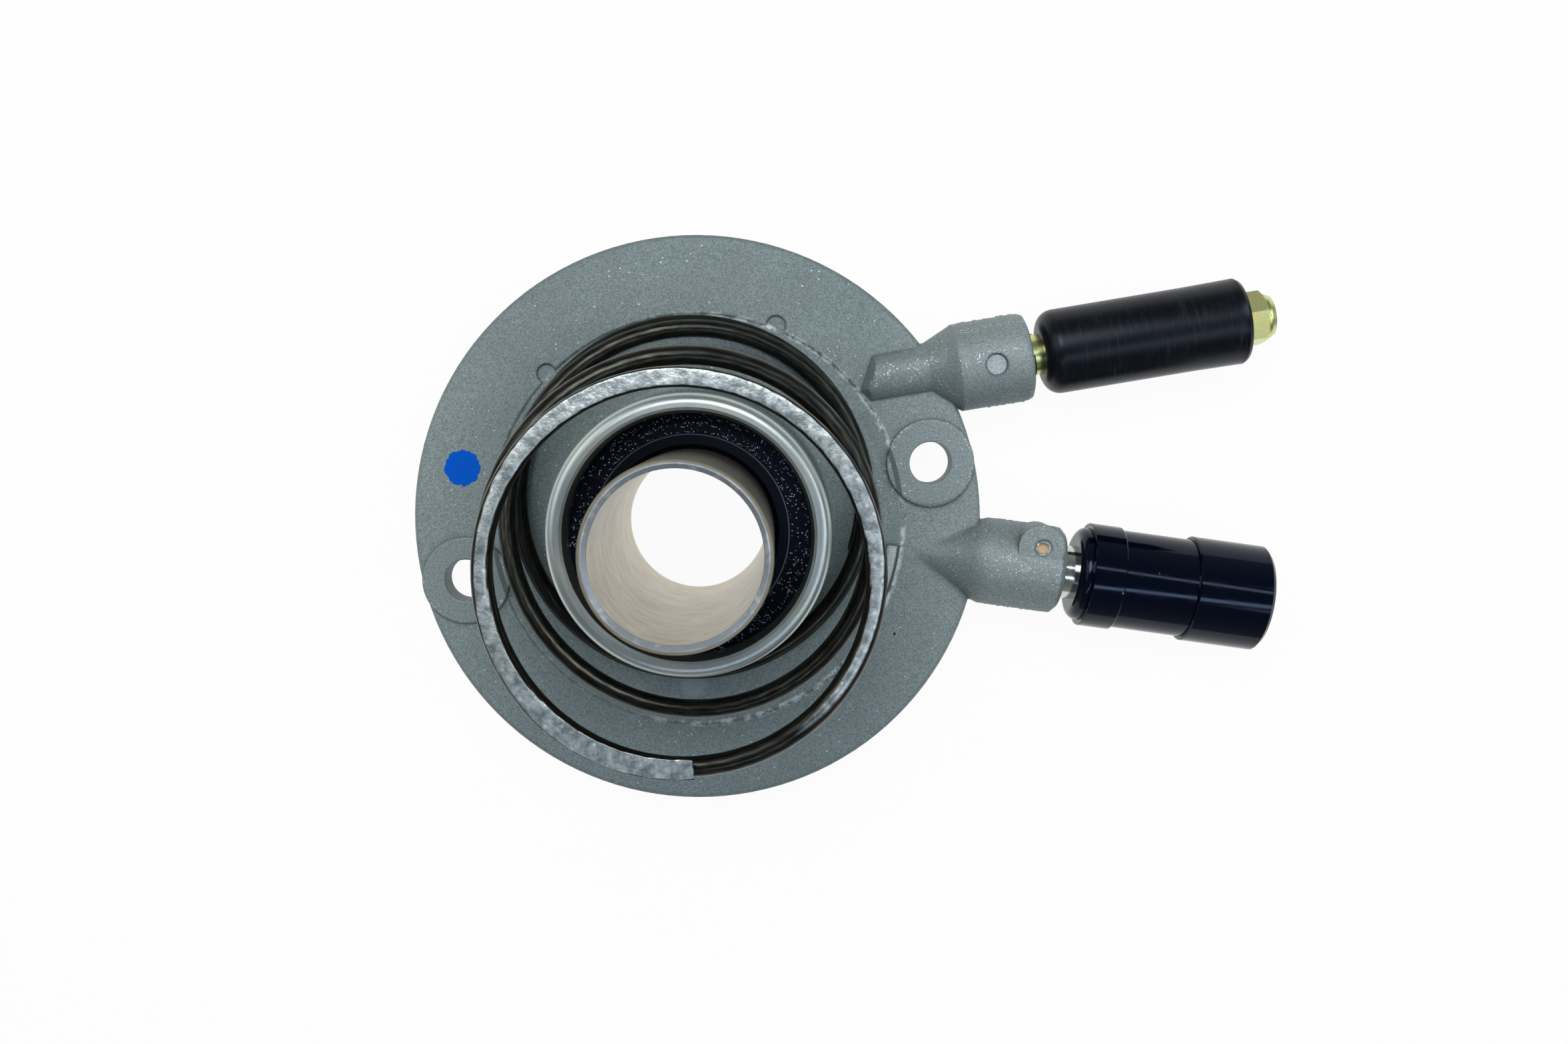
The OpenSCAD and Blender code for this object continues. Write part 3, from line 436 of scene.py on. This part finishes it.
dark = add(tree, "Mix", {0: die_tone.outputs[0], 6: linear("1e1f1c"), 7: linear("383934")},
           data_type="RGBA")
mottle = add(tree, "TexNoise", {"Vector": place, "Scale": per_mm(1.7), "Detail": 3.0, "Roughness": 0.6})
mottle_tone = add(tree, "MapRange", {"Value": mottle.outputs[0], 1: 0.34, 2: 0.66})
steel = add(tree, "Mix", {0: mottle_tone.outputs[0], 6: linear("7d888a"), 7: linear("c4cdce")},
            data_type="RGBA")
# Glints: painted highlights, drawn as bright dots on the ground face.
speck_cells = add(tree, "TexVoronoi", {"Vector": place, "Scale": per_mm(1.5)})
speck_chance = add(tree, "SeparateColor", {"Color": speck_cells.outputs["Color"]})
glint_pick = add(tree, "Math", {0: speck_chance.outputs["Red"], 1: 0.8}, operation="GREATER_THAN")
glint_dot = add(tree, "MapRange", {"Value": speck_cells.outputs["Distance"], 1: 0.36, 2: 0.0, 3: 0.0, 4: 0.95})
glints = add(tree, "Math", {0: glint_pick.outputs[0], 1: glint_dot.outputs[0]}, operation="MULTIPLY")
sparkling = add(tree, "Mix", {0: glints.outputs[0], 6: steel.outputs[2], 7: linear("eaf0f2")},
                data_type="RGBA")
wire_colour = add(tree, "Mix", {0: ground.outputs[0], 6: dark.outputs[2], 7: sparkling.outputs[2]},
                  data_type="RGBA")
wire_gloss = add(tree, "MapRange", {"Value": ground.outputs[0], 3: 0.28, 4: 0.4})
face_height = add(tree, "Math", {0: mottle.outputs[0], 1: ground.outputs[0]}, operation="MULTIPLY")
line_height = add(tree, "Math", {0: die_lines.outputs[0], 1: 0.03, 2: face_height.outputs[0]},
                  operation="MULTIPLY_ADD")
ground_bump = add(tree, "Bump", {"Strength": 0.5, "Distance": 0.0003, "Height": line_height.outputs[0]})
tree.links.new(wire_colour.outputs[2], skin.inputs["Base Color"])
tree.links.new(wire_gloss.outputs[0], skin.inputs["Roughness"])
tree.links.new(ground_bump.outputs[0], skin.inputs["Normal"])
skin.inputs["Metallic"].default_value = 0.92
coat_node("preload_spring", wire)
spring = fit_piece(coil, "spring_wire", wire, "housing")
rounder = spring.modifiers.new("round_wire", "SUBSURF")
rounder.levels = 1
rounder.render_levels = 1
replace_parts(spring, "preload_spring")

# The bleed screw: a long hexagon-headed steel screw, plated yellow zinc chromate, with a fine thread.
# The passivated zinc shifts between gold and green.
chromate, tree, skin, place = finish_named("yellow_chromate_steel")
film_and_foot_light = add(tree, "TexNoise", {"Vector": place, "Scale": per_mm(2.6), "Detail": 3.0, "Roughness": 0.6})
film_tone = add(tree, "MapRange", {"Value": film_and_foot_light.outputs[0], 1: 0.4, 2: 0.6})
gold = add(tree, "Mix", {0: film_tone.outputs[0], 6: linear("d8d288"), 7: linear("c8d89c")},
           data_type="RGBA")
pale = add(tree, "TexNoise", {"Vector": place, "Scale": per_mm(0.4), "Detail": 3.0})
pale_tone = add(tree, "MapRange", {"Value": pale.outputs[0], 1: 0.5, 2: 0.68, 3: 0.0, 4: 0.4})
plated = add(tree, "Mix", {0: pale_tone.outputs[0], 6: gold.outputs[2], 7: linear("ebecc8")},
             data_type="RGBA")
forged = add(tree, "Bump", {"Strength": 0.14, "Distance": 0.00008, "Height": pale.outputs[0]})
tree.links.new(plated.outputs[2], skin.inputs["Base Color"])
tree.links.new(forged.outputs[0], skin.inputs["Normal"])
skin.inputs["Metallic"].default_value = 1.0
skin.inputs["Roughness"].default_value = 0.28
coat_node("bleed_screw", chromate)

# The forged end: the hexagon stands with one corner a little to the back, and ends in a blunt, wide cone.
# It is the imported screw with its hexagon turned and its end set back, measured along the port from the
# point that is nearest to the axis of the tube.
port_offset = 0.0249
bleed_way = Vector((math.cos(math.radians(bleed_angle)), math.sin(math.radians(bleed_angle)), 0))
bleed_start = Vector((-bleed_way.y * port_offset, bleed_way.x * port_offset, port_z))
back_turn = Matrix.Rotation(math.radians(-12), 3, bleed_way)
hexagon_from, hexagon_mid, shank_r, set_back = 0.1278, 0.1345, 0.0046, 0.001
packed_cone, packed_length, cone_from = 0.1364, 0.003, 0.13645
cone_base, cone_length, cone_r, cone_taper = 0.1354, 0.0018, 0.0055, 0.0009
screw = joined_copy("bleed_screw", 30)
for vert in screw.verts:
    along = (vert.co - bleed_start).dot(bleed_way)
    out = vert.co - bleed_start - bleed_way * along
    if along > cone_from:
        share = (along - packed_cone) / packed_length
        width = (cone_r - cone_taper * share) / out.length if out.length > 0.002 else 1
        vert.co = bleed_start + bleed_way * (cone_base + cone_length * share) + out * width
    elif along > hexagon_from and out.length > shank_r:
        kept = along if along < hexagon_mid else along - set_back
        vert.co = bleed_start + bleed_way * kept + back_turn @ out
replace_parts(fit_piece(screw, "forged_screw", chromate, "bleed_screw"), "bleed_screw")

# The last of its thread: three quarters of a turn at 1.25 mm pitch stands out of the boss.
# The thread was rolled before plating, so its ridge has a narrow flat crest.
pitch, steps, steps_a_turn = 0.00125, 36, 48
ridge = bmesh.new()
corners = [ridge.verts.new(bleed_start + bleed_way * along + Vector((0, 0, out)))
           for along, out in ((0.0810, 0.00458), (0.08148, 0.00498), (0.0816, 0.00498), (0.08205, 0.00458))]
section = ridge.faces.new(corners)
bmesh.ops.spin(ridge, geom=corners + list(section.edges) + [section], axis=bleed_way, cent=bleed_start,
               dvec=bleed_way * (pitch / steps_a_turn), angle=math.radians(360 * steps / steps_a_turn),
               steps=steps, use_merge=False)
bmesh.ops.recalc_face_normals(ridge, faces=ridge.faces)
fit_piece(ridge, "bleed_thread", chromate, "bleed_screw")

# The rubber sleeve on the bleed screw: moulded, satin black, pushed on over the shank.
# Handling has left fine scuffs that run round it.
rubber, tree, skin, place = finish_named("satin_moulded_rubber")
along_port = add(tree, "Mapping", {"Vector": place, "Rotation": (0, 0, math.radians(-bleed_angle))})
stretched = add(tree, "VectorMath", {0: along_port.outputs[0], 1: (1.0, 0.07, 0.07)}, operation="MULTIPLY")
scuffs = add(tree, "TexNoise", {"Vector": stretched.outputs[0], "Scale": per_mm(0.45), "Detail": 3.0,
                                "Roughness": 0.6})
patches = add(tree, "TexNoise", {"Vector": place, "Scale": per_mm(6), "Detail": 3.0})
patch_tone = add(tree, "MapRange", {"Value": patches.outputs[0], 1: 0.35, 2: 0.65})
scuff_tone = add(tree, "MapRange", {"Value": scuffs.outputs[0], 1: 0.5, 2: 0.72})
scuffed = add(tree, "Math", {0: scuff_tone.outputs[0], 1: patch_tone.outputs[0]}, operation="MULTIPLY")
rubber_colour = add(tree, "Mix", {0: scuffed.outputs[0], 6: linear("07080c"), 7: linear("22232d")},
                    data_type="RGBA")
rubber_gloss = add(tree, "MapRange", {"Value": scuffed.outputs[0], 3: 0.31, 4: 0.4})
scuff_bump = add(tree, "Bump", {"Strength": 0.1, "Distance": 0.00006, "Height": scuffs.outputs[0]})
tree.links.new(rubber_colour.outputs[2], skin.inputs["Base Color"])
tree.links.new(rubber_gloss.outputs[0], skin.inputs["Roughness"])
tree.links.new(scuff_bump.outputs[0], skin.inputs["Normal"])
skin.inputs["Specular IOR Level"].default_value = 0.26
skin.inputs["Specular Tint"].default_value = linear("dbe9ff")
coat_node("bleed_sleeve", rubber)
# It is pushed back a little from the hexagon, so its soft end is short of the screw's.
soft_end, pushed = 0.1305, -0.0018
boot = joined_copy("bleed_sleeve", 30)
end_verts = [vert for vert in boot.verts if (vert.co - bleed_start).dot(bleed_way) > soft_end]
bmesh.ops.translate(boot, vec=bleed_way * pushed, verts=end_verts)
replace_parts(fit_piece(boot, "rubber_boot", rubber, "bleed_sleeve"), "bleed_sleeve")

# The coupling stem: turned steel, bright plated, pushed into the fluid boss with its seals.
# Fine tool marks run round it, and it mirrors whatever stands beside it.
stem, tree, skin, place = finish_named("bright_plated_steel")
along_line = add(tree, "Mapping", {"Vector": place, "Rotation": (0, 0, math.radians(-line_angle))})
stretched = add(tree, "VectorMath", {0: along_line.outputs[0], 1: (1.0, 0.1, 0.1)}, operation="MULTIPLY")
tool = add(tree, "TexNoise", {"Vector": stretched.outputs[0], "Scale": per_mm(0.5), "Detail": 3.0})
stem_colour = add(tree, "Mix", {0: tool.outputs[0], 6: linear("bcc0b6"), 7: linear("d8dbd4")},
                  data_type="RGBA")
stem_gloss = add(tree, "MapRange", {"Value": tool.outputs[0], 1: 0.3, 2: 0.7, 3: 0.1, 4: 0.2})
tree.links.new(stem_colour.outputs[2], skin.inputs["Base Color"])
tree.links.new(stem_gloss.outputs[0], skin.inputs["Roughness"])
skin.inputs["Metallic"].default_value = 1.0
coat_node("coupling_stem", stem)

# The roll pin: a slit tube of spring steel, driven down through the boss to hold the stem.
# It was rolled from strip and tempered, so its grey is uneven.
pin, tree, skin, place = finish_named("rolled_spring_steel")
temper = add(tree, "TexNoise", {"Vector": place, "Scale": per_mm(0.8), "Detail": 3.0})
pin_colour = add(tree, "Mix", {0: temper.outputs[0], 6: linear("b0b3b1"), 7: linear("e0e2de")},
                 data_type="RGBA")
pin_gloss = add(tree, "MapRange", {"Value": temper.outputs[0], 1: 0.3, 2: 0.7, 3: 0.2, 4: 0.34})
tree.links.new(pin_colour.outputs[2], skin.inputs["Base Color"])
tree.links.new(pin_gloss.outputs[0], skin.inputs["Roughness"])
skin.inputs["Metallic"].default_value = 1.0
coat_node("roll_pin", pin)

# A tan disc, a little hollow, just under the top of the pin's bore: painted light, standing in for the light
# that shows down the bore. Its tan is mottled lighter and darker.
pin_top, pin_bore_r = (0.07843, -0.00560, 0.0116), 0.00122
bore_light_disc = bmesh.new()
bmesh.ops.create_circle(bore_light_disc, cap_ends=True, segments=28, radius=pin_bore_r,
                        matrix=Matrix.Translation(pin_top))
bmesh.ops.inset_individual(bore_light_disc, faces=bore_light_disc.faces[:], thickness=0.0004, depth=-0.0002)
bore_light_material, tree, skin, place = finish_named("painted_bore_light")
disc_tone = add(tree, "TexNoise", {"Vector": place, "Scale": per_mm(0.6), "Detail": 3.0})
disc_colour = add(tree, "Mix", {0: disc_tone.outputs[0], 6: linear("b08d5f"), 7: linear("e3cba0")},
                   data_type="RGBA")
tree.links.new(disc_colour.outputs[2], skin.inputs["Base Color"])
skin.inputs["Roughness"].default_value = 0.45
fit_piece(bore_light_disc, "pin_bore_light", bore_light_material, "housing")

# The coupling: glossy black moulded plastic, turned smooth, that takes the hydraulic line.
# It mirrors the studio in long streaks, and carries a few specks of dust.
acetal, tree, skin, place = finish_named("gloss_black_moulded_plastic")
dust = add(tree, "TexVoronoi", {"Vector": place, "Scale": per_mm(2.2)})
dust_chance = add(tree, "SeparateColor", {"Color": dust.outputs["Color"]})
dust_pick = add(tree, "Math", {0: dust_chance.outputs["Green"], 1: 0.95}, operation="GREATER_THAN")
dust_dot = add(tree, "MapRange", {"Value": dust.outputs["Distance"], 1: 0.12, 2: 0.05})
dust_and_shade = add(tree, "Math", {0: dust_pick.outputs[0], 1: dust_dot.outputs[0]}, operation="MULTIPLY")
acetal_colour = add(tree, "Mix", {0: dust_and_shade.outputs[0], 6: linear("030613"), 7: linear("7a829a")},
                    data_type="RGBA")
touched = add(tree, "TexNoise", {"Vector": place, "Scale": per_mm(3), "Detail": 4.0})
acetal_gloss = add(tree, "MapRange", {"Value": touched.outputs[0], 1: 0.3, 2: 0.7, 3: 0.06, 4: 0.13})
tree.links.new(acetal_colour.outputs[2], skin.inputs["Base Color"])
tree.links.new(acetal_gloss.outputs[0], skin.inputs["Roughness"])
skin.inputs["Specular IOR Level"].default_value = 0.28
skin.inputs["Specular Tint"].default_value = linear("c4d8ff")
coat_node("coupling_socket", acetal)

# The studio: a white table under the part, which the camera and mirror-like surfaces see as plain white, and
# a dim sky. A soft lamp stands behind and above, one at each side, a small one in front, and two strips of
# light hang above to draw the streaks on the glossy pieces.
bpy.context.scene.view_settings.view_transform = "Standard"
slab = bmesh.new()
bmesh.ops.create_grid(slab, x_segments=1, y_segments=1, size=3.0)
bmesh.ops.translate(slab, verts=slab.verts, vec=(0, 0, cad_low.z - 0.0001))
table_mesh = bpy.data.meshes.new("table")
slab.to_mesh(table_mesh)
slab.free()
table = bpy.data.objects.new("table", table_mesh)
bpy.context.scene.collection.objects.link(table)
white, tree, skin, _ = finish_named("white_table")
skin.inputs["Base Color"].default_value = linear("f1f0ec")
skin.inputs["Roughness"].default_value = 0.6
path = add(tree, "LightPath")
seen = add(tree, "Math", {0: path.outputs["Is Camera Ray"], 1: path.outputs["Is Glossy Ray"]},
           operation="MAXIMUM")
shown = add(tree, "Math", {0: seen.outputs[0], 1: path.outputs["Is Transmission Ray"]}, operation="MAXIMUM")
share = add(tree, "Math", {0: shown.outputs[0], 1: 0.95}, operation="MULTIPLY")
glow = add(tree, "Emission", {"Color": (1, 1, 1, 1), "Strength": 1.0})
lit_table = add(tree, "MixShader", {0: share.outputs[0], 1: skin.outputs[0], 2: glow.outputs[0]})
tree.links.new(lit_table.outputs[0], tree.nodes["Material Output"].inputs["Surface"])
table_mesh.materials.append(white)

world = bpy.data.worlds.new("studio_sky")
bpy.context.scene.world = world
world.use_nodes = True
sky = world.node_tree
direction = add(sky, "SeparateXYZ", {"Vector": add(sky, "TexCoord").outputs["Generated"]})
height = add(sky, "MapRange", {"Value": direction.outputs["Z"], 1: 0.05, 2: 0.75})
horizon, zenith = (0.3, 0.3, 0.29, 1), (0.12, 0.135, 0.16, 1)
air = add(sky, "Mix", {0: height.outputs[0], 6: horizon, 7: zenith}, data_type="RGBA")
path = add(sky, "LightPath")
backdrop = add(sky, "Mix", {0: path.outputs["Is Camera Ray"], 6: air.outputs[2], 7: (1, 1, 1, 1)},
               data_type="RGBA")
sky.links.new(backdrop.outputs[2], sky.nodes["Background"].inputs["Color"])

lit_point = Vector((0.02, 0.0, 0.03))
for name, where, width, depth, watts, tint in (
        ("lamp_above", (-0.03, 0.30, 0.62), 0.3, 0.3, 2.0, (1.0, 1.0, 0.99)),
        ("lamp_left", (-0.75, 0.35, 0.8), 0.8, 0.8, 3.0, (1.0, 0.99, 0.96)),
        ("lamp_right", (0.95, 0.25, 0.75), 0.7, 0.7, 2.6, (0.97, 0.99, 1.0)),
        ("strip_back", (0.30, 0.47, 1.0), 1.5, 0.09, 1.5, (0.92, 0.96, 1.0)),
        ("strip_front", (0.30, -0.38, 1.0), 1.5, 0.09, 2.2, (0.76, 0.86, 1.0)),
        ("lamp_front", (0.64, -0.45, 1.0), 0.3, 0.3, 0.45, (1.0, 1.0, 0.97))):
    lamp = bpy.data.lights.new(name, "AREA")
    lamp.shape = "RECTANGLE"
    lamp.size = width
    lamp.size_y = depth
    lamp.energy = watts
    lamp.color = tint
    stand = bpy.data.objects.new(name, lamp)
    bpy.context.scene.collection.objects.link(stand)
    turned = (lit_point - Vector(where)).to_track_quat("-Z", "Y")
    stand.matrix_world = Matrix.Translation(where) @ turned.to_matrix().to_4x4()

# The camera of the photograph: 0.32 m above the flange, almost straight down on it.
# Its place and focal length were fitted to the circles of the flange, the tube and the piston's lip.
photo_width, focal_pixels, sensor_mm = 2354, 2054, 36
eye = Vector((0.01784, 0.02839, 0.31924))
ahead = (Vector((0.01987, -0.00067, 0.0)) - eye).normalized()
right = ahead.cross(Vector((0, 1, 0))).normalized()
up = right.cross(ahead)
lens = bpy.data.cameras.new("camera")
lens.sensor_fit = "HORIZONTAL"
lens.sensor_width = sensor_mm
lens.lens = sensor_mm * focal_pixels / photo_width
lens.clip_start = 0.01
camera = bpy.data.objects.new("camera", lens)
bpy.context.scene.collection.objects.link(camera)
camera.matrix_world = Matrix.Translation(eye) @ Matrix((right, up, -ahead)).transposed().to_4x4()
bpy.context.scene.camera = camera
